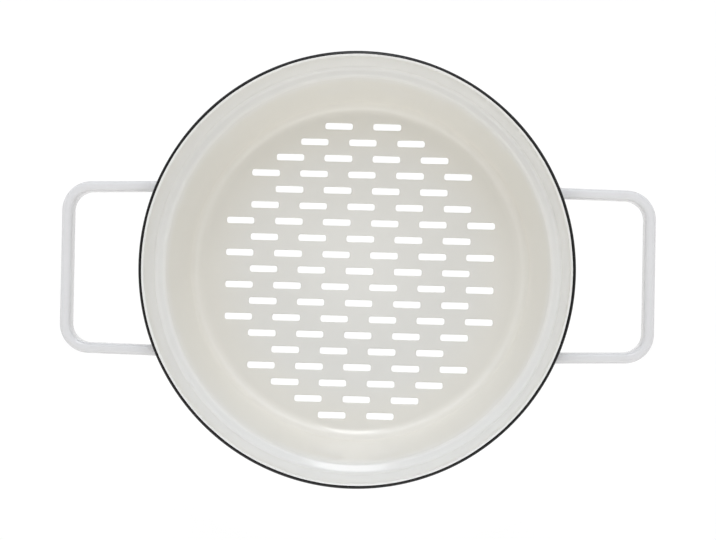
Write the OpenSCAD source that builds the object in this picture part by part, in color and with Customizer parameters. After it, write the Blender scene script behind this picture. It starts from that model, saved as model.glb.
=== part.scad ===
// Steamer insert: a drawn and enamelled steel pan with a slotted floor, a sloping ledge that
// rests on the rim of a pot, and two bent bars welded to the collar as handles.
// Z is up, X runs through both handles, and the floor stands on z = 0.

/* [Pan] */
// Diameter over the turned edge
rim_d = 251; // [236:1:280]
// Height of the pan over the turned edge
pan_h = 85; // [70:1:110]
// Thickness of the sheet with its enamel
sheet_t = 1.3; // [0.9:0.1:1.3]
// Height of the collar, from the ledge to the top of the turned edge
collar_h = 29; // [26:1:38]
// Outward lean of the collar wall, in degrees
collar_lean = 5.2; // [3:0.1:10]
// Width of the ledge, from the collar wall to the lower wall
ledge_w = 5.6; // [5:0.1:9]
// Slope of the ledge, down towards the middle, in degrees
ledge_slope = 18; // [0:1:24]
// Radius of the ledge's inner edge
ledge_edge_r = 3; // [1.8:0.1:3.5]
// Radius of the corner between ledge and collar
ledge_corner_r = 3; // [1:0.1:3.5]
// Diameter of the flat floor
floor_d = 194.5; // [180:0.5:204]
// Radius of the corner between floor and wall
floor_corner_r = 8; // [3:0.5:12]

/* [Turned edge] */
// Thickness of the turned edge
edge_d = 3.1; // [2.6:0.1:3.4]
// Thickness of the black enamel on the outer half of the edge
black_t = 0.4; // [0.3:0.05:0.6]
// How far the black enamel runs in over the top of the edge, in degrees
black_over = 13; // [0:1:20]

/* [Slots] */
// Length of a slot
slot_l = 17.3; // [10:0.1:22]
// Width of a slot
slot_w = 4.1; // [3:0.1:6]
// Radius of a slot's four corners
slot_corner_r = 1.4; // [0.5:0.1:1.5]
// Spacing of the slots along a row
slot_pitch = 30; // [26:1:40]
// Spacing of the rows
row_pitch = 10; // [8:0.5:14]
// Least distance from the slots to the bend between floor and wall
slot_margin = 1.5; // [1:0.5:20]
// Turn of the rows against the line through the handles, in degrees
slot_turn = -0.4; // [-3:0.1:3]

/* [Handles] */
// Distance from the turned edge out to the middle of a grip
grip_reach = 43.1; // [36:0.1:60]
// Distance between the middles of a handle's two arms, at the grip
arm_span = 93; // [80:0.2:110]
// Outward splay of each arm towards the pan, in degrees
arm_splay = 1.2; // [0:0.1:4]
// Slope of the handles down and away from the pan, in degrees
handle_droop = 0; // [0:0.5:12]
// Distance from the top of the pan down to the handle's middle at the collar
handle_drop = 14.5; // [14.5:0.5:17]
// Distance of the handles' middle line in front of the pan's own
handle_shift = 1.3; // [0:0.1:3]
// Width of the bar, seen from above
bar_w = 6.1; // [5:0.1:8]
// Depth of the bar, seen from the side
bar_h = 13; // [8:0.5:14]
// Radius of the bar's long edges
bar_round = 2.4; // [1:0.1:2.4]
// Bend radius at the grip's corners, at the middle of the bar
corner_bend_r = 14; // [8:0.5:20]
// Reach of the weld along the bar
weld_l = 6; // [2:0.2:7]
// Reach of the weld along the collar, all round the bar
weld_w = 3.2; // [1.6:0.1:3.6]

/* [Hidden] */
$fn = 96;
ivory = [0.91, 0.90, 0.86];
black = [0.06, 0.06, 0.06];
white = [0.92, 0.92, 0.92];
arc_steps = 10;      // flats in a bend of the sheet
bend_steps = 16;     // flats in a bend of the bar
round_steps = 6;     // flats in a rounded edge of the bar and in the hollow of a weld
weld_gap = 0.1;      // space left between the bar's end, its weld and the collar
coat_gap = 0.08;     // space left under the black coat
coat_gap_turn = 4;   // degrees left at each end of the black coat
past = 1;            // how far a cut runs past what it cuts

function polar(r, angle) = r * [cos(angle), sin(angle)];

// The turned edge is round, and the collar's inner face runs on into it.
edge_r = edge_d / 2;
edge_x = rim_d / 2 - edge_r;
edge_z = pan_h - edge_r;
ledge_z = pan_h - collar_h;

// The ledge slopes down from the foot of the collar, and the lower wall runs on from it down
// to the bend round the floor.
collar_foot_x = edge_x - edge_r / cos(collar_lean) - (edge_z - ledge_z) * tan(collar_lean);
collar_foot = [collar_foot_x, ledge_z];
ledge_in = collar_foot - ledge_w * [1, tan(ledge_slope)];
floor_c = [floor_d / 2, sheet_t + floor_corner_r];
wall_run = ledge_in - floor_c;
wall_lean = acos(floor_corner_r / norm(wall_run)) - atan2(wall_run.y, wall_run.x);

// Radii of the collar's two faces at a height.
function collar_x(z) = collar_foot_x + (z - ledge_z) * tan(collar_lean);
function collar_out_x(z) = collar_x(z) + sheet_t / cos(collar_lean);

// Centre of the bend that rounds a corner between two faces, which run away from it one way
// and the other.
function bend_centre(corner, way, other_way, r) =
    let (
        middle_way = way + other_way,
        half_angle = acos(way * other_way) / 2
    )
    corner + middle_way / norm(middle_way) * r / sin(half_angle);

// The other two bends in the sheet. Its inner and outer face share their centres.
down_wall = -[sin(wall_lean), cos(wall_lean)];
up_ledge = [cos(ledge_slope), sin(ledge_slope)];
up_collar = [sin(collar_lean), cos(collar_lean)];
lip_c = bend_centre(ledge_in, down_wall, up_ledge, ledge_edge_r);
gutter_c = bend_centre(collar_foot, -up_ledge, up_collar, ledge_corner_r);

// The handles lie in planes that tilt about the pan's axis. In such a plane, u runs out
// from the axis and v runs sideways, and plane_z is where the plane crosses the axis.
handle_z = pan_h - handle_drop;
plane_z = handle_z + collar_out_x(handle_z) * tan(handle_droop);
grip_u = (rim_d / 2 + grip_reach) / cos(handle_droop);
grip_v = arm_span / 2 - corner_bend_r * tan((90 - arm_splay) / 2);
corner_c = [grip_u - corner_bend_r, grip_v];

function arc(centre, r, from, to) =
    [for (i = [0:arc_steps]) centre + polar(r, from + (to - from) * i / arc_steps)];

// Half the section of the sheet: its inner face from the axis out, the turned edge with the
// recess that the black coat fills, and the outer face back to the axis.
module sheet_section() {
    inner = concat(
        [[0, sheet_t]],
        arc(floor_c, floor_corner_r, -90, -wall_lean),
        arc(lip_c, ledge_edge_r, 180 - wall_lean, 90 + ledge_slope),
        arc(gutter_c, ledge_corner_r, ledge_slope - 90, -collar_lean)
    );
    edge = concat(
        arc([edge_x, edge_z], edge_r, 180 - collar_lean, 90 + black_over),
        arc([edge_x, edge_z], edge_r - black_t, 90 + black_over, -90),
        arc([edge_x, edge_z], edge_r, -90, acos(1 - sheet_t / edge_r) - collar_lean - 180)
    );
    outer = concat(
        arc(gutter_c, ledge_corner_r + sheet_t, -collar_lean, ledge_slope - 90),
        arc(lip_c, ledge_edge_r - sheet_t, 90 + ledge_slope, 180 - wall_lean),
        arc(floor_c, floor_corner_r + sheet_t, -wall_lean, -90),
        [[0, 0]]
    );
    polygon(concat(inner, edge, outer));
}

// The black coat fills the recess in the part of the round edge that faces outward.
module black_section() {
    top_end = 90 + black_over - coat_gap_turn;
    low_end = coat_gap_turn - 90;
    polygon(concat(
        arc([edge_x, edge_z], edge_r, top_end, low_end),
        arc([edge_x, edge_z], edge_r - black_t + coat_gap, low_end, top_end)
    ));
}

module slot() {
    straight_l = slot_l - 2 * slot_corner_r;
    straight_w = slot_w - 2 * slot_corner_r;
    translate([0, 0, -past])
        linear_extrude(sheet_t + 2 * past) {
            square([straight_l, slot_w], center = true);
            square([slot_l, straight_w], center = true);
            for (x = [-1, 1], y = [-1, 1])
                translate([x * straight_l, y * straight_w] / 2)
                    circle(slot_corner_r);
        }
}

// Rows of slots, each row half a pitch along from the next, as far as the flat floor allows.
module slots() {
    slot_field_r = floor_c.x - slot_margin;
    rows = ceil(slot_field_r / row_pitch);
    columns = ceil(slot_field_r / slot_pitch);
    rotate([0, 0, slot_turn])
        for (row = [-rows:rows], column = [-columns:columns]) {
            stagger = row % 2 == 0 ? 0 : slot_pitch / 2;
            x = column * slot_pitch + stagger;
            y = row * row_pitch;
            far_corner = [abs(x) + slot_l / 2, abs(y) + slot_w / 2];
            if (norm(far_corner) <= slot_field_r)
                translate([x, y, 0])
                    slot();
        }
}

module pan() {
    color(ivory)
        difference() {
            rotate_extrude()
                sheet_section();
            slots();
        }
}

module rim_enamel() {
    color(black)
        rotate_extrude()
            black_section();
}

// A sweep joins rings of points, each ring as long as the next. An open one gets a cap at
// each end, and a closed one runs from its last ring on to its first.
module sweep(rings, closed = false) {
    n = len(rings[0]);
    count = len(rings);
    sides = [
        for (i = [0:count - (closed ? 1 : 2)], j = [0:n - 1], far = [false, true])
            let (
                here = i * n,
                next = (i + 1) % count * n,
                k = (j + 1) % n
            )
            far ? [here + j, next + k, next + j] : [here + j, here + k, next + k]
    ];
    last = (count - 1) * n;
    first_cap = [for (j = [1:n - 2]) [j + 1, j, 0]];
    last_cap = [for (j = [1:n - 2]) [last, last + j, last + j + 1]];
    polyhedron(
        [for (ring = rings, point = ring) point],
        closed ? sides : concat(sides, first_cap, last_cap)
    );
}

// Section of the bar, grown all round by an amount: x is its width in the plane of the
// handle, y its depth.
function bar_section(grow) = [
    for (q = [0:3], i = [0:round_steps])
        let (
            turn = 90 * q,
            x = sign(cos(turn + 45)) * (bar_w / 2 - bar_round),
            y = sign(sin(turn + 45)) * (bar_h / 2 - bar_round)
        )
        [x, y] + polar(bar_round + grow, turn + 90 * i / round_steps)
];

// From the tilted plane, with n square to it, to the pan's own frame. The side is 1 for the
// back half of a handle and -1 for its front half.
function placed(point, n, side) = [
    point.x * cos(handle_droop) + n * sin(handle_droop),
    side * point.y - handle_shift,
    plane_z - point.x * sin(handle_droop) + n * cos(handle_droop)
];

// A ring of the bar where its middle is at a point and its outer face is turned a given way.
function bar_ring(middle, turn, side, grow = 0) =
    [for (at = bar_section(grow)) placed(middle + polar(at.x, turn), at.y, side)];

// Where an arm starts, and the way that it runs to the pan.
arm_turn = 90 - arm_splay;
arm_start = corner_c + polar(corner_bend_r, arm_turn);
function arm_way(side) = placed(polar(1, 180 - arm_splay), 0, side) - placed([0, 0], 0, side);

// A point moved along the arm as far as the collar, but for the weld's gap.
function on_wall(point, side) =
    let (
        way = arm_way(side),
        wall_r = collar_out_x(point.z) + weld_gap,
        rise = way.z * tan(collar_lean),
        a = pow(way.x, 2) + pow(way.y, 2) - pow(rise, 2),
        b = point.x * way.x + point.y * way.y - wall_r * rise,
        c = pow(point.x, 2) + pow(point.y, 2) - pow(wall_r, 2)
    )
    point - way * (b + sqrt(b * b - a * c)) / a;

// Half of the bar, from the grip's middle line round a corner and along an arm to the pan,
// where its end is cut to the shape of the collar.
function half_bar(side) = concat(
    [
        for (i = [0:bend_steps])
            let (turn = arm_turn * i / bend_steps)
            bar_ring(corner_c + polar(corner_bend_r, turn), turn, side)
    ],
    [[for (point = bar_ring(arm_start, arm_turn, side)) on_wall(point, side)]]
);

module right_handle() {
    front = half_bar(-1);
    color(white)
        sweep(concat([for (i = [len(front) - 1:-1:0]) front[i]], half_bar(1)));
}

module left_handle() {
    mirror([1, 0, 0])
        right_handle();
}

// Section of the weld: x is its reach from the bar along the collar, y its reach from the
// collar along the bar. Its face is hollow.
function weld_section() = concat(
    [[0, 0]],
    [
        for (i = [0:round_steps])
            let (turn = 90 * i / round_steps)
            [weld_w * (1 - sin(turn)), weld_l * (1 - cos(turn))]
    ]
);

// The weld runs once round the end of an arm.
module arm_weld(side) {
    rings = [
        for (at = weld_section()) [
            for (point = bar_ring(arm_start, arm_turn, side, weld_gap + at.x))
                on_wall(point, side) - arm_way(side) * at.y
        ]
    ];
    last = len(rings[0]) - 1;
    sweep(
        [for (k = [0:last]) [for (ring = rings) ring[side > 0 ? k : last - k]]],
        closed = true
    );
}

module right_handle_welds() {
    color(white)
        for (side = [-1, 1])
            arm_weld(side);
}

module left_handle_welds() {
    mirror([1, 0, 0])
        right_handle_welds();
}

pan();
rim_enamel();
left_handle();
right_handle();
left_handle_welds();
right_handle_welds();
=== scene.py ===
import math
import random

import bmesh
import bpy
from mathutils import Matrix, Vector
from mathutils.geometry import delaunay_2d_cdt


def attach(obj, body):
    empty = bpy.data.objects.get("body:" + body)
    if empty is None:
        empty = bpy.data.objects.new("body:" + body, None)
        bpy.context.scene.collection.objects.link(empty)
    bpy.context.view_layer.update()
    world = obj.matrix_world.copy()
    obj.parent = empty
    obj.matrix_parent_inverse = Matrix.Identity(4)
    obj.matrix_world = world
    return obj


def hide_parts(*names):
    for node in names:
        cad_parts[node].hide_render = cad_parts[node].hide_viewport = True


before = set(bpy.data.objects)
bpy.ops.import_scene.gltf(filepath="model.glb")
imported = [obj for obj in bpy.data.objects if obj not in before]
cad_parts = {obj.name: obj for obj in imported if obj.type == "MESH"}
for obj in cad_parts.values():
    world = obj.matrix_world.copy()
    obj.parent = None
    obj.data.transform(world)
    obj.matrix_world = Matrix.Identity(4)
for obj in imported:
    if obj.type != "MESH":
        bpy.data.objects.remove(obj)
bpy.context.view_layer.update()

# The pan is one disc of sheet steel, drawn in two steps to a bowl with a sloping ledge all
# round. Its edge is turned outward to a bead, its floor is punched with slots, and it is
# dipped in ivory enamel and fired. Sizes are in millimetres, with heights from the floor.
mm = 0.001
sheet_t = 1.3
edge_r, enamel_step = 1.55, 0.03
edge_c = Vector((123.95, 83.45))
ledge_z, ledge_w, ledge_slope, bend_r = 56.0, 5.6, 18.0, 3.0
floor_r, floor_bend_r = 97.25, 8.0
collar_lean = 5.2
around, mesh_gap = 256, 3.5


def polar(r, degrees):
    return r * math.cos(math.radians(degrees)), r * math.sin(math.radians(degrees))


def bend(centre, r, start, end, steps):
    """Points along an arc, from one angle to the other."""
    turns = [start + (end - start) * i / steps for i in range(steps + 1)]
    return [(centre[0] + polar(r, t)[0], centre[1] + polar(r, t)[1]) for t in turns]


def joined(*stretches):
    """Stretches of points in a row, with points every few millimetres along the runs between."""
    row = list(stretches[0])
    for stretch in stretches[1:]:
        (x0, z0), (x1, z1) = row[-1], stretch[0]
        count = max(1, round(math.hypot(x1 - x0, z1 - z0) / mesh_gap))
        row += [(x0 + (x1 - x0) * i / count, z0 + (z1 - z0) * i / count) for i in range(1, count)]
        row += stretch
    return row


def bend_centre(corner, way, other_way, r):
    """Centre of a bend that rounds a corner between two faces, which run away from it."""
    return corner + (way + other_way).normalized() * r / math.sin(way.angle(other_way) / 2)


collar_slope, ledge_fall = math.tan(math.radians(collar_lean)), math.tan(math.radians(ledge_slope))
collar_foot = Vector((edge_c.x - edge_r / math.cos(math.radians(collar_lean))
                      - (edge_c.y - ledge_z) * collar_slope, ledge_z))
ledge_in = collar_foot - ledge_w * Vector((1, ledge_fall))
floor_c = Vector((floor_r, sheet_t + floor_bend_r))
wall_run = ledge_in - floor_c
wall_lean = math.degrees(math.acos(floor_bend_r / wall_run.length)
                         - math.atan2(wall_run.y, wall_run.x))
down_wall = Vector(polar(1, 270 - wall_lean))
up_ledge, up_collar = Vector(polar(1, ledge_slope)), Vector(polar(1, 90 - collar_lean))
lip_c = bend_centre(ledge_in, down_wall, up_ledge, bend_r)
gutter_c = bend_centre(collar_foot, -up_ledge, up_collar, bend_r)
bead_r = edge_r - enamel_step
crevice = edge_c + Vector(polar(bead_r, -96.5))


def soft_corner(start, corner, end, steps):
    """Points along the curve that enamel takes as it fills a corner."""
    row = []
    for i in range(steps + 1):
        t = i / steps
        row.append(tuple((1 - t) ** 2 * a + 2 * t * (1 - t) * b + t * t * c
                         for a, b, c in zip(start, corner, end)))
    return row


bead_end = edge_c + Vector(polar(bead_r, -70))
below_bead = crevice - 0.7 * Vector((collar_slope, 1))
sheet_profile = joined(
    bend(floor_c, floor_bend_r, -90, -wall_lean, 14),
    bend(lip_c, bend_r, 180 - wall_lean, 90 + ledge_slope, 12),
    bend(gutter_c, bend_r, ledge_slope - 90, -collar_lean, 12),
    bend(edge_c, bead_r, 180 - collar_lean, -66, 34),
    soft_corner(bead_end, crevice, below_bead, 6),
    bend(gutter_c, bend_r + sheet_t, -collar_lean, ledge_slope - 90, 12),
    bend(lip_c, bend_r - sheet_t, 90 + ledge_slope, 180 - wall_lean, 8),
    bend(floor_c, floor_bend_r + sheet_t, -wall_lean, -90, 14),
)


oval, five_sided, ripple = 0.07, 0.02, 0.012
dome, dome_fade, swell, small_swell = 0.10, 30, 0.06, 0.03
wall_foot_z, wall_h = 8, 77


def as_made(x, y, z):
    """A point of the pan where the press and the kiln leave it: never quite round, never flat."""
    r, turn = math.hypot(x, y), math.atan2(y, x)
    height = max(0.0, z - wall_foot_z) / wall_h
    inward = height * (oval * (1 + math.sin(2 * turn + 0.7))
                       + five_sided * (1 + math.sin(5 * turn + 2)))
    inward += height * ripple * (1 + math.sin(11 * turn + 0.05 * z))
    flat = max(0.0, min(1.0, (floor_r - r) / dome_fade))
    lift = flat * (dome + swell * math.sin(x / 19 + 1) * math.sin(y / 23 + 2)
                   + small_swell * math.sin(x / 8 - y / 11))
    scale = (r - inward) / r if r > 1 else 1
    return x * scale, y * scale, z + lift


# The slots are punched from above once the pan is drawn. The enamel rounds their lips and
# draws thin there, so each slot has a slightly darker edge.
slot_l, slot_w, slot_corner_r = 17.3, 4.1, 1.4
slot_pitch, row_pitch, slot_turn = 30.0, 10.0, -0.4
slot_field_r, rows, columns = 95.75, 10, 4
lip_r, lip_reach = 0.38, 0.8
lip_profile = [(lip_reach, sheet_t, 0)]
for i in range(6):
    x, z = polar(lip_r, 90 + 90 * i / 5)
    lip_profile.append((lip_r + x, sheet_t - lip_r + z, 0.2 + 0.6 * i / 5))
for i in range(5):
    x, z = polar(lip_r, 180 + 90 * i / 4)
    lip_profile.append((lip_r + x, lip_r + z, 0.8 - 0.2 * i))
lip_profile.append((lip_reach, 0, 0))


def slot_outline(centre, length, width, grow):
    """Points round a slot with rounded corners, grown by an amount."""
    x, y = length / 2 - slot_corner_r, width / 2 - slot_corner_r
    ring = []
    for q, (sx, sy) in enumerate(((1, 1), (-1, 1), (-1, -1), (1, -1))):
        ring += bend((sx * x, sy * y), slot_corner_r + grow, 90 * q, 90 * q + 90, 5)
        if q % 2 == 0:
            end = sx * x, sy * (width / 2 + grow)
            ring += [(end[0] * (1 - k / 2), end[1]) for k in (1, 2, 3)]
    c, s = polar(1, slot_turn)
    return [(centre[0] + x * c - y * s, centre[1] + x * s + y * c) for x, y in ring]


random.seed(7)
slot_plan = []
for row in range(-rows, rows + 1):
    for column in range(-columns, columns + 1):
        x, y = column * slot_pitch + (0 if row % 2 == 0 else slot_pitch / 2), row * row_pitch
        if math.hypot(abs(x) + slot_l / 2, abs(y) + slot_w / 2) <= slot_field_r:
            c, s = polar(1, slot_turn)
            slip = random.uniform(-0.1, 0.1), random.uniform(-0.06, 0.06)
            slot_plan.append(((x * c - y * s + slip[0], x * s + y * c + slip[1]),
                              slot_l + random.uniform(-0.25, 0.15), slot_w + random.uniform(-0.1, 0.06)))


def in_a_slot(x, y, grow):
    """Whether a point lies within any slot grown by an amount."""
    c, s = polar(1, slot_turn)
    for (cx, cy), length, width in slot_plan:
        along, across = (x - cx) * c + (y - cy) * s, (y - cy) * c - (x - cx) * s
        past = (max(0.0, abs(along) - length / 2 + slot_corner_r),
                max(0.0, abs(across) - width / 2 + slot_corner_r))
        if math.hypot(*past) < slot_corner_r + grow:
            return True
    return False


points, faces, thin = [], [], []


def add_point(x, y, z, how_thin=0.0):
    points.append(as_made(x, y, z))
    thin.append(how_thin)
    return len(points) - 1


def add_rings(rings, closed=True):
    """Faces between rings of point numbers, each ring as long as the next."""
    for a, b in zip(rings, rings[1:]):
        for i in range(len(a) if closed else len(a) - 1):
            k = (i + 1) % len(a)
            faces.append((a[i], a[k], b[k], b[i]))


wall_rings = []
crown_top, crown_reach = edge_c + Vector((0, 1.2)), 1.2
crest_top, crest_reach = lip_c + Vector(polar(bend_r, 138)), 1.3
for x, z in sheet_profile:
    crown = max(0.0, 1 - (Vector((x, z)) - crown_top).length / crown_reach)
    crest = max(0.0, 1 - (Vector((x, z)) - crest_top).length / crest_reach)
    wall_rings.append([add_point(*polar(x, 360 * i / around), z, 0.5 * crown + 0.35 * crest)
                       for i in range(around)])
add_rings(wall_rings)

flat_points, flat_edges, upper, lower = [], [], [], []


def add_loop(top, bottom):
    """A closed row of points that bounds the flat floor, with its fellows on the underside."""
    first = len(flat_points)
    for i, (t, b) in enumerate(zip(top, bottom)):
        flat_points.append(Vector(points[t][:2]))
        flat_edges.append((first + i, first + (i + 1) % len(top)))
        upper.append(t)
        lower.append(b)


add_loop(wall_rings[0], wall_rings[-1])
for centre, length, width in slot_plan:
    rings = [[add_point(x, y, z, t) for x, y in slot_outline(centre, length, width, grow)]
             for grow, z, t in lip_profile]
    add_rings(rings)
    add_loop(rings[0], rings[-1])
net_x, net_y, net_columns, net_rows = 5.2, 4.6, 18, 21
bend_room, lip_room = 2.5, 1.3
for i in range(-net_columns, net_columns + 1):
    for j in range(-net_rows, net_rows + 1):
        x, y = net_x * (i + 0.5 * (j % 2)), net_y * j
        near_slot = in_a_slot(x, y, lip_reach + lip_room)
        if math.hypot(x, y) < floor_r - bend_room and not near_slot:
            flat_points.append(Vector((x, y)))
            upper.append(add_point(x, y, sheet_t))
            lower.append(add_point(x, y, 0))
_, _, triangles, sources, _, _ = delaunay_2d_cdt(flat_points, flat_edges, [], 1, 1e-5)
for triangle in triangles:
    ends = [sources[k][0] for k in triangle]
    middle = sum((flat_points[e] for e in ends), Vector((0, 0))) / len(ends)
    if not in_a_slot(middle.x, middle.y, lip_reach - 0.05):
        faces.append([upper[e] for e in ends])
        faces.append([lower[e] for e in reversed(ends)])


def piece(name, points, faces, material, thin=None):
    """An object from points in millimetres and faces, smooth, with all its faces outward."""
    mesh = bpy.data.meshes.new(name)
    mesh.from_pydata([[c * mm for c in p] for p in points], [], faces)
    work = bmesh.new()
    work.from_mesh(mesh)
    bmesh.ops.recalc_face_normals(work, faces=work.faces)
    work.to_mesh(mesh)
    work.free()
    mesh.shade_smooth()
    if thin:
        drawn = mesh.attributes.new("thin", "FLOAT", "POINT")
        drawn.data.foreach_set("value", thin)
    mesh.materials.append(material)
    made = bpy.data.objects.new(name, mesh)
    bpy.context.scene.collection.objects.link(made)
    return made


class Strand:
    """A number, colour or vector in a finish, which takes Python's own arithmetic."""

    def __init__(self, tree, socket=None):
        self.tree, self.socket = tree, socket

    def node(self, kind, settings=None, inputs=None, output=0):
        """A node of a type, its settings first, then the values or strands of its sockets."""
        made = self.tree.nodes.new(kind)
        for name, value in (settings or {}).items():
            if name == "stops":
                for stop, (place, colour) in zip(made.color_ramp.elements, value):
                    stop.position, stop.color = place, colour
            else:
                setattr(made, name, value)
        for name, value in (inputs or {}).items():
            if isinstance(value, Strand):
                self.tree.links.new(value.socket, made.inputs[name])
            else:
                made.inputs[name].default_value = value
        return Strand(self.tree, made.outputs[output])

    def maths(self, operation, *others):
        return self.node("ShaderNodeMath", {"operation": operation},
                         dict(enumerate((self, *others))))

    def __add__(self, other):
        return self.maths("ADD", other)

    def __sub__(self, other):
        return self.maths("SUBTRACT", other)

    def __mul__(self, other):
        return self.maths("MULTIPLY", other)

    def __rsub__(self, other):
        return (self * -1.0) + other

    __radd__, __rmul__ = __add__, __mul__

    def clamped(self):
        return self.maths("MAXIMUM", 0.0).maths("MINIMUM", 1.0)

    def noise(self, size, detail):
        """Noise whose cells are about so many millimetres across, about 0.5 on average."""
        return self.node("ShaderNodeTexNoise", {}, {
            "Vector": self, "Scale": 1 / (size * mm), "Detail": detail})

    def tinted(self, how_much, colour):
        """This colour on its way to another, by a number from 0 to 1."""
        return self.node("ShaderNodeMix", {"data_type": "RGBA"}, {
            "Factor": how_much, "A": self, "B": colour}, output="Result")


def finish(name, **constants):
    """A new finish: the material, its shader, and a strand that holds a place on the piece."""
    material = bpy.data.materials.new(name)
    material.use_nodes = True
    tree = material.node_tree
    shader = tree.nodes["Principled BSDF"]
    for socket, value in constants.items():
        shader.inputs[socket.replace("_", " ")].default_value = value
    place = Strand(tree).node("ShaderNodeTexCoord", output="Object")
    return material, shader, place


def fed(shader, **strands):
    """Strands, each into the shader's socket of that name."""
    for socket, strand in strands.items():
        strand.tree.links.new(strand.socket, shader.inputs[socket.replace("_", " ")])


def glaze_skin(place, wave, peel):
    """The normal of fired enamel: slow waves, and on them the fine peel of the glass."""
    height = place.noise(26, 1.0) * wave + place.noise(2.6, 2.0) * peel
    return place.node("ShaderNodeBump", {}, {"Height": height, "Strength": 1.0, "Distance": mm})


def ivory_enamel():
    material, shader, place = finish("ivory_enamel", IOR=1.52)
    clouds, mottle = place.noise(60, 2.0), place.noise(7, 3.0)
    drawn = place.node("ShaderNodeAttribute", {"attribute_name": "thin"}, output="Fac")
    x, y, z = (place.node("ShaderNodeSeparateXYZ", {}, {0: place}, output=axis) for axis in "XYZ")
    out = (x * x + y * y).maths("SQRT")
    # Below the ledge the ivory is painted creamier, most of all on the wall and round the floor's edge:
    # painted warm shade, standing in for the light the bowl bounces round inside it.
    below_ledge, floor_shade_r, wall_foot_r, middle_shade_share = 0.044, 0.070, 0.0965, 0.36
    low = 1 - ((z - below_ledge) * 90).clamped()
    painted_warm_shade = low * (middle_shade_share
                    + ((out - floor_shade_r) * 45).clamped() * (1 - middle_shade_share))
    wall, rise = ((out - wall_foot_r) * 300).clamped(), (z * 32 - 0.25).clamped()
    ivory, shade_cream = place.node("ShaderNodeRGB"), place.node("ShaderNodeRGB")
    ivory.socket.default_value = (0.79, 0.788, 0.770, 1)
    shade_cream.socket.default_value = (0.80, 0.78, 0.723, 1)
    # The wall is painted lighter at its foot and darker higher up: painted light and shade.
    shade_cream = shade_cream.tinted(wall * (1 - rise), (0.838, 0.816, 0.756, 1))
    shade_cream = shade_cream.tinted(wall * rise, (0.775, 0.757, 0.702, 1))
    tone = ivory.tinted(painted_warm_shade, shade_cream)
    tone = tone.tinted((clouds * 1.6 - 0.3).clamped() * 0.3, (0.825, 0.815, 0.785, 1))
    tone = tone.tinted((mottle * 2.4 - 0.9).clamped() * 0.2, (0.775, 0.765, 0.72, 1))
    tone = tone.tinted((drawn * (mottle + 0.35)).clamped() * 0.32, (0.52, 0.50, 0.45, 1))
    speck_cell, speck_share = 9 * mm, 0.07
    cells, luck = (place.node("ShaderNodeTexVoronoi", {"feature": "F1"}, {
        "Vector": place, "Scale": 1 / speck_cell}, output=what) for what in ("Distance", "Color"))
    chosen = luck.node("ShaderNodeSeparateColor", {}, {0: luck})
    chosen = chosen.maths("GREATER_THAN", 1 - speck_share)
    speck = (1 - cells * 26).clamped() * chosen
    tone = tone.tinted(speck * 0.55, (0.24, 0.21, 0.17, 1))
    gloss = 0.06 + (mottle * 0.05) + (clouds * 0.03) + drawn * 0.05
    fed(shader, Base_Color=tone, Roughness=gloss, Normal=glaze_skin(place, 0.10, 0.006))
    return material


pan = piece("pan_enamelled", points, faces, ivory_enamel(), thin)
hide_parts("pan")
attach(pan, "root")

# The turned edge is dipped once more, in black, and fired again. The coat is thin, it
# wanders a little where the dip ended, and it stands a hair proud of the ivory.
black_start, black_end, under_coat, inside_sheet = 107.0, -92.0, 0.02, 0.3
coat_steps, coat_edge = 24, 14
points, faces, coat_rings = [], [], []


def add_plain(x, y, z):
    """The number of a new point, which stays just where it is put."""
    points.append((x, y, z))
    return len(points) - 1


for i in range(around):
    turn = 2 * math.pi * i / around
    drift = (2.2 * math.sin(3 * turn + 1) + 1.5 * math.sin(8 * turn + 2)
             + 1.1 * math.sin(19 * turn) + 0.8 * math.sin(37 * turn + 4))
    sag = 3 * math.sin(5 * turn + 1) + 2 * math.sin(13 * turn + 3) + 1.5 * math.sin(29 * turn)
    section = []
    for k in range(coat_steps + 1):
        share = k / coat_steps
        angle = black_start + drift + (black_end + sag - black_start - drift) * share
        rise = math.sin(min(1.0, coat_edge * share, coat_edge * (1 - share)) * math.pi / 2)
        section.append((angle, bead_r - under_coat + (edge_r - bead_r + under_coat) * rise))
    section += [(angle, edge_r - inside_sheet) for angle, _ in section[::-1]]
    ring = []
    for angle, r in section:
        x, z = polar(r, angle)
        ring.append(add_plain(*as_made(*polar(edge_c.x + x, 360 * i / around), edge_c.y + z)))
    coat_rings.append(ring)
add_rings(coat_rings + coat_rings[:1])


def black_enamel():
    material, shader, place = finish("black_enamel", IOR=1.52, Specular_IOR_Level=0.25)
    mottle = place.noise(5, 3.0)
    black = place.node("ShaderNodeRGB")
    black.socket.default_value = (0.005, 0.005, 0.006, 1)
    tone = black.tinted((mottle * 2 - 0.8).clamped(), (0.012, 0.011, 0.011, 1))
    fed(shader, Base_Color=tone, Roughness=0.10 + mottle * 0.14,
        Normal=glaze_skin(place, 0.06, 0.006))
    return material


rim = piece("black_edge", points, faces, black_enamel())
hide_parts("rim_enamel")
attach(rim, "root")

# Each handle is a flat steel bar with rounded edges, stood on edge and bent twice. It lies
# level, just under the turned edge. Its ends are cut to the collar and it is enamelled white.
bar_w, bar_h, bar_round = 6.1, 13.0, 2.4
arm_splay, corner_r = 1.2, 14.0
handle_z, handle_shift, arm_span = 70.5, 1.3, 93.0


def collar_out(z):
    """Radius of the collar's outer face at a height."""
    thick = sheet_t / math.cos(math.radians(collar_lean))
    return collar_foot.x + (z - ledge_z) * collar_slope + thick


def placed(u, v, n, half):
    """From a handle's own level plane, with n upward, to the pan's frame, for the back half
    with 1 and for the front half with -1."""
    return Vector((u, half * v - handle_shift, handle_z + n))


def bar_section(grow=0.0):
    """Points round the bar's section, grown by an amount: across the loop, then square to it."""
    ring, steps = [], 8
    for q, (sx, sy) in enumerate(((1, 1), (-1, 1), (-1, -1), (1, -1))):
        centre = sx * (bar_w / 2 - bar_round), sy * (bar_h / 2 - bar_round)
        ring += bend(centre, bar_round + grow, 90 * q, 90 * q + 90, steps)
    return ring


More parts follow.
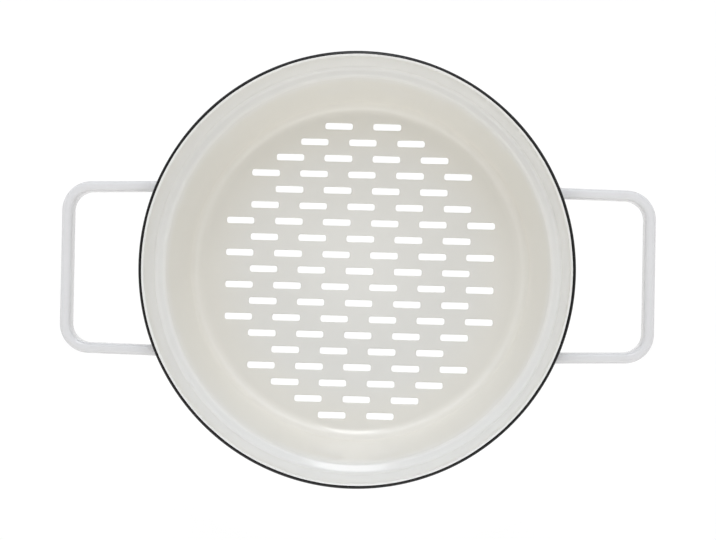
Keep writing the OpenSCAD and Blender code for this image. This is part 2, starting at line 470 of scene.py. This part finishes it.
grip_u = 168.6
corner_u = grip_u - corner_r
corner_v = arm_span / 2 - corner_r * math.tan(math.radians((90 - arm_splay) / 2))
arm_side = 90 - arm_splay
arm_u, arm_v = corner_u + polar(corner_r, arm_side)[0], corner_v + polar(corner_r, arm_side)[1]


def arm_way(half):
    """Which way an arm runs to the pan."""
    return placed(*polar(1, 180 - arm_splay), 0, half) - placed(0, 0, 0, half)


def bar_ring(u, v, side, half, grow=0.0):
    """A ring of the bar where its middle is at u, v and its outer side faces a given way."""
    return [placed(u + polar(x, side)[0], v + polar(x, side)[1], n, half)
            for x, n in bar_section(grow)]


def on_wall(point, gap, half):
    """A point moved level along the arm until it is that far from the collar."""
    way, wall = arm_way(half), collar_out(point.z) + gap
    along = point.x * way.x + point.y * way.y
    beyond = point.x ** 2 + point.y ** 2 - wall ** 2
    return point - way * (along + math.sqrt(along ** 2 - beyond))


grip_steps, corner_steps, arm_steps, into_wall = 3, 30, 8, 0.6


def half_loop(half):
    """Rings of the bar from the middle of the grip round a corner and along an arm to the pan."""
    rings = [bar_ring(grip_u, corner_v * i / grip_steps, 0, half) for i in range(grip_steps)]
    for i in range(corner_steps + 1):
        side = arm_side * i / corner_steps
        x, y = polar(corner_r, side)
        rings.append(bar_ring(corner_u + x, corner_v + y, side, half))
    head, end = rings[-1], bar_ring(arm_u, arm_v, arm_side, half)
    foot = [on_wall(point, -into_wall, half) for point in end]
    return rings + [[a.lerp(b, i / arm_steps) for a, b in zip(head, foot)]
                    for i in range(1, arm_steps + 1)]


def white_enamel():
    material, shader, place = finish("white_enamel", IOR=1.52)
    clouds, mottle = place.noise(22, 2.0), place.noise(4, 3.0)
    white = place.node("ShaderNodeRGB")
    white.socket.default_value = (0.675, 0.672, 0.679, 1)
    tone = white.tinted((clouds * 1.6 - 0.3).clamped() * 0.6, (0.705, 0.702, 0.712, 1))
    tone = tone.tinted((mottle * 2.4 - 0.9).clamped() * 0.3, (0.645, 0.638, 0.638, 1))
    fed(shader, Base_Color=tone, Roughness=0.12 + mottle * 0.09 + clouds * 0.05,
        Normal=glaze_skin(place, 0.09, 0.008))
    return material


white = white_enamel()
for name, way in (("left_handle", -1), ("right_handle", 1)):
    rings = half_loop(-1)[:0:-1] + half_loop(1)
    points, faces = [(way * p.x, p.y, p.z) for ring in rings for p in ring], []
    n = len(rings[0])
    add_rings([range(i * n, i * n + n) for i in range(len(rings))])
    faces += [list(range(n)), list(range(len(points) - n, len(points)))]
    bar = piece(name + "_bar", points, faces, white)
    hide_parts(name)
    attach(bar, "root")

# A weld runs once round the end of each arm, where it meets the collar. It was ground to
# a hollow fillet before the enamel went on, which softens what lumps are left.
weld_l, weld_w = 6.0, 3.2
hollow_steps, weld_root = 10, 0.7
random.seed(11)
for name, way in (("left_handle_welds", -1), ("right_handle_welds", 1)):
    points, faces = [], []
    for half in (1, -1):
        phases = [random.uniform(0, 6.28) for _ in range(4)]
        n = len(bar_section())
        rings = []
        for at in range(hollow_steps + 4):
            turn = 90 * (at - 1) / hollow_steps
            ring = []
            for k in range(n):
                around_bar = 2 * math.pi * k / n
                lump = 1 + 0.05 * math.sin(2 * around_bar + phases[0]) \
                    + 0.03 * math.sin(5 * around_bar + phases[1])
                reach = 1 + 0.05 * math.sin(3 * around_bar + phases[2]) \
                    + 0.02 * math.sin(7 * around_bar + phases[3])
                if at == 0:
                    grow, out = weld_w * lump + 0.3, -weld_root
                elif at < hollow_steps + 2:
                    grow = weld_w * lump * (1 - math.sin(math.radians(turn)))
                    out = weld_l * reach * (1 - math.cos(math.radians(turn)))
                elif at == hollow_steps + 2:
                    grow, out = -0.4, weld_l * reach + 0.4
                else:
                    grow, out = -0.6, -weld_root
                start = bar_ring(arm_u, arm_v, arm_side, half, grow)[k]
                point = on_wall(start, 0.0, half) - arm_way(half) * out
                ring.append(add_plain(way * point.x, point.y, point.z))
            rings.append(ring)
        add_rings(rings + rings[:1])
    weld = piece(name[:-1] + "_fillets", points, faces, white)
    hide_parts(name)
    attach(weld, "root")

# The stage is a round white paper that turns up at its edge, far from the pan, and keeps the
# pan's shadow. It glows for the camera and for polished pieces, so that it shows white
# through the slots too, but in the pan's own shade the polished pieces see less of it.
material, shader, place = finish("sweep_paper", Roughness=0.9)
shader.inputs["Base Color"].default_value = (0.8, 0.8, 0.8, 1)
points, faces = [], []
flat_reach, upturn_r, under_pan, paper_sides = 6500.0, 1500.0, 0.2, 48
upturn = bend((flat_reach, upturn_r - under_pan), upturn_r, -90, 0, 12)
add_rings([[add_plain(*polar(r, 360 / paper_sides * i), h) for i in range(paper_sides)]
           for r, h in upturn])
faces.append(list(range(paper_sides)))
sweep = piece("sweep", points, faces, material)
far = place.node("ShaderNodeVectorMath", {"operation": "LENGTH"}, {0: place}, output="Value")
under = 1 - ((far - 0.1) * 12).clamped()
glow_share, shade = 0.85, 0.7
ray = {kind: place.node("ShaderNodeLightPath", output="Is %s Ray" % kind)
       for kind in ("Camera", "Glossy", "Transmission")}
straight = ray["Camera"].maths("MAXIMUM", ray["Transmission"])
white_share = (straight + ray["Glossy"] * (1 - under * shade)) * glow_share
# Under the pan the glow is a little stronger: painted light where the pan's shadow falls, so that the
# slots show white.
glow = place.node("ShaderNodeEmission", {}, {"Color": (1, 1, 1, 1), "Strength": 1.05 + under * 0.1})
paper = Strand(material.node_tree, shader.outputs[0])
both = place.node("ShaderNodeMixShader", {}, {0: white_share, 1: paper, 2: glow})
material.node_tree.links.new(both.socket, material.node_tree.nodes["Material Output"].inputs[0])

# The room has white reflectors all round, in three heights, and a dim ceiling over them.
# Each side's entry is how bright it is high up, half-way up and at the foot. The light from
# the back is a little cooler than the rest, like a lamp's beside a window's.
overhead = 0.64
sides = {(1, 0): (0.03, 1.30, 0.50), (-1, 0): (0.14, 1.24, 0.50),
         (0, 1): (0.80, 2.58, 0.0), (0, -1): (0.67, 2.46, 0.80)}
world = bpy.data.worlds.new("studio")
bpy.context.scene.world = world
world.use_nodes = True
way = Strand(world.node_tree).node("ShaderNodeTexCoord", output="Generated")
x, y, z = (way.node("ShaderNodeSeparateXYZ", {}, {0: way}, output=axis) for axis in "XYZ")
flat = (x * x + y * y).maths("MAXIMUM", 0.0001)
ceiling, above_half, above_foot = (
    ((z - math.cos(math.radians(from_zenith))) * sharpness).clamped()
    for from_zenith, sharpness in ((27, 15), (50, 8), (71, 8)))
strength = ceiling * overhead
for (sx, sy), (high, half_way, foot) in sides.items():
    side = (x * sx + y * sy).maths("MAXIMUM", 0.0)
    share = (side * side).maths("DIVIDE", flat)
    level = (above_half - ceiling) * high + (above_foot - above_half) * half_way \
        + (1 - above_foot) * foot
    strength = strength + share * level
    if sy == 1:
        from_back = share * level
tone = way.node("ShaderNodeMix", {"data_type": "RGBA"}, {
    "Factor": from_back.maths("DIVIDE", strength.maths("MAXIMUM", 0.001)),
    "A": (1.005, 1.0, 0.985, 1), "B": (0.965, 0.995, 1.05, 1)}, output="Result")
backdrop = world.node_tree.nodes["Background"]
world.node_tree.links.new(strength.socket, backdrop.inputs["Strength"])
world.node_tree.links.new(tone.socket, backdrop.inputs["Color"])

# One soft lamp hangs behind the pan and over it. It gives the bright arcs at the front of the
# ledge and of the bend round the floor.
lamp = bpy.data.lights.new("key", "AREA")
lamp.shape, lamp.size, lamp.size_y = "RECTANGLE", 0.26, 0.70
lamp.energy, lamp.color = 2.8, (0.97, 0.98, 1)
key, lit = bpy.data.objects.new("key", lamp), Vector((0, 0, 0.05))
key.location = Vector((-0.01, 0.82, 1.18))
key.rotation_euler = (lit - key.location).to_track_quat("-Z", "Y").to_euler()
bpy.context.scene.collection.objects.link(key)

# The camera hangs nearly straight above, a little to the right and to the front, and is
# turned a touch, so that the handles run down to the right as they do in the photograph.
roll, lens_px, frame_w = 1.07, 1620.0, 716
eye = Vector((0.0210, -0.0117, 1.0106))
target = Vector((0.00084, -0.00029, 0.0837))
ahead = (target - eye).normalized()
right = Vector((*polar(1, roll), 0))
right = (right - ahead * right.dot(ahead)).normalized()
up = right.cross(ahead)
lens = bpy.data.cameras.new("lens")
lens.sensor_width, lens.lens = 36.0, 36.0 * lens_px / frame_w
lens.clip_start, lens.clip_end = 0.05, 50
camera = bpy.data.objects.new("camera", lens)
camera.matrix_world = Matrix.Translation(eye) @ Matrix((right, up, -ahead)).transposed().to_4x4()
bpy.context.scene.collection.objects.link(camera)
bpy.context.scene.camera = camera
bpy.context.scene.view_settings.view_transform = "Standard"
